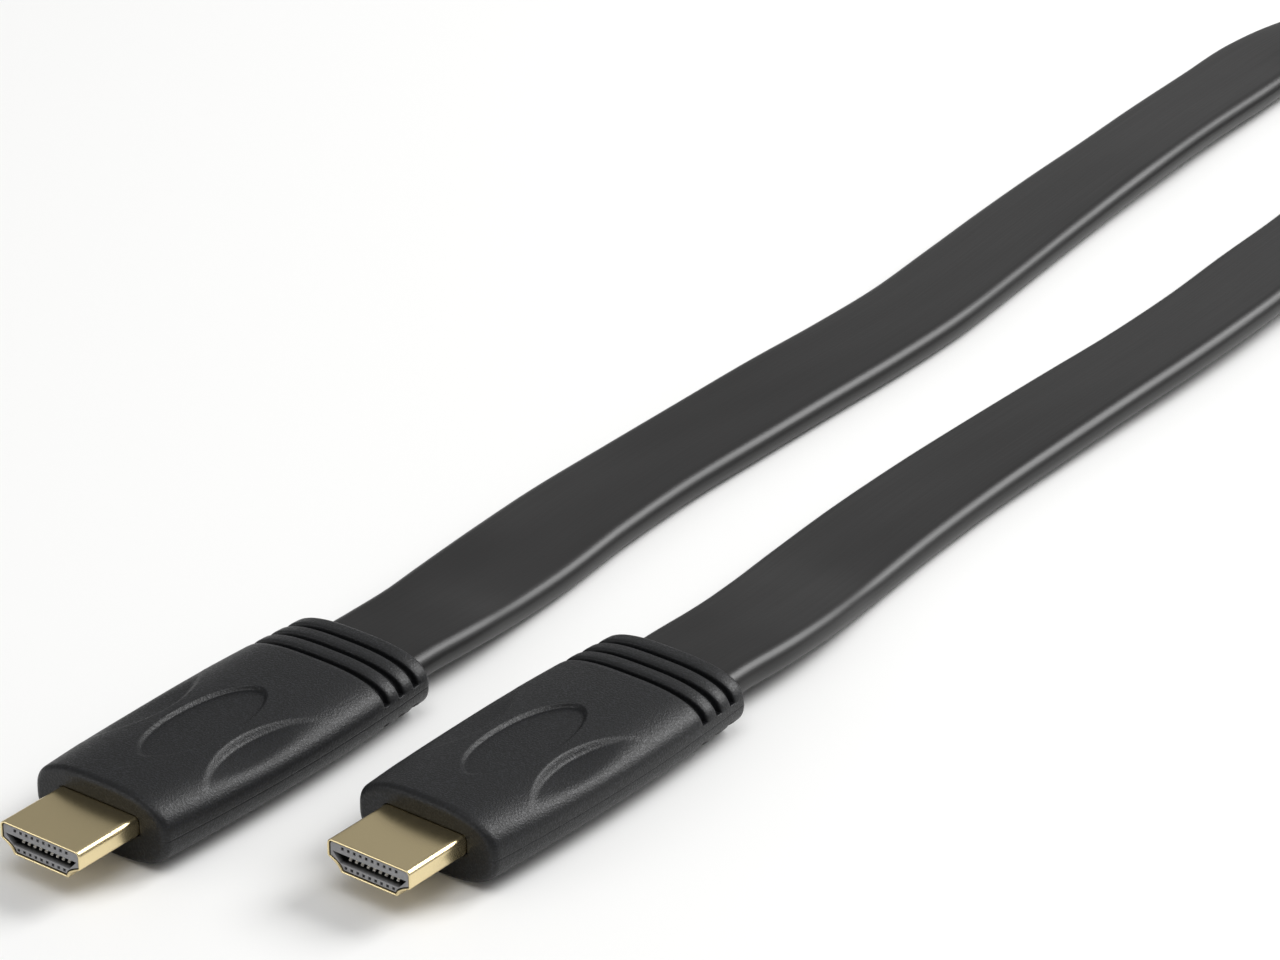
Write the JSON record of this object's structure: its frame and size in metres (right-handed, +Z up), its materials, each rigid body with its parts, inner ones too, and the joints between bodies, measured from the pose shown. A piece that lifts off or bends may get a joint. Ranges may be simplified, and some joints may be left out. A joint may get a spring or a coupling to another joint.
{
  "type": "flat digital video cable",
  "caption": "Flat black video and audio cable with a moulded plug on each end, the spare cord wound in a coil with a strap.",
  "frame": {"origin": "on the surface the cable lies on, under the middle of the box round the two plugs", "axes": "+Z up; the plugs' noses point to -Y and the cords run to +Y"},
  "size_m": [0.1881, 0.4864, 0.0206],
  "materials": {
    "plug_cover": "finely grained moulded PVC, charcoal",
    "plug_shell": "gold plated, satin",
    "plug_insulator": "moulded grey plastic",
    "plug_contact": "plated, bright",
    "cord_jacket": "smooth extruded PVC, satin",
    "tie_strap": "woven hook-and-loop strap"
  },
  "bodies": {
    "root": {"plug_a_cover": "plug_cover", "plug_a_shell": "plug_shell", "plug_a_insulator": "plug_insulator", "plug_a_contact_01": "plug_contact", "plug_a_contact_02": "plug_contact", "plug_a_contact_03": "plug_contact", "plug_a_contact_04": "plug_contact", "plug_a_contact_05": "plug_contact", "plug_a_contact_06": "plug_contact", "plug_a_contact_07": "plug_contact", "plug_a_contact_08": "plug_contact", "plug_a_contact_09": "plug_contact", "plug_a_contact_10": "plug_contact", "plug_a_contact_11": "plug_contact", "plug_a_contact_12": "plug_contact", "plug_a_contact_13": "plug_contact", "plug_a_contact_14": "plug_contact", "plug_a_contact_15": "plug_contact", "plug_a_contact_16": "plug_contact", "plug_a_contact_17": "plug_contact", "plug_a_contact_18": "plug_contact", "plug_a_contact_19": "plug_contact", "plug_b_cover": "plug_cover", "plug_b_shell": "plug_shell", "plug_b_insulator": "plug_insulator", "plug_b_contact_01": "plug_contact", "plug_b_contact_02": "plug_contact", "plug_b_contact_03": "plug_contact", "plug_b_contact_04": "plug_contact", "plug_b_contact_05": "plug_contact", "plug_b_contact_06": "plug_contact", "plug_b_contact_07": "plug_contact", "plug_b_contact_08": "plug_contact", "plug_b_contact_09": "plug_contact", "plug_b_contact_10": "plug_contact", "plug_b_contact_11": "plug_contact", "plug_b_contact_12": "plug_contact", "plug_b_contact_13": "plug_contact", "plug_b_contact_14": "plug_contact", "plug_b_contact_15": "plug_contact", "plug_b_contact_16": "plug_contact", "plug_b_contact_17": "plug_contact", "plug_b_contact_18": "plug_contact", "plug_b_contact_19": "plug_contact", "cord_run_a": "cord_jacket", "cord_run_b": "cord_jacket", "cord_coil": "cord_jacket", "coil_tie": "tie_strap"}
  },
  "joints": []
}
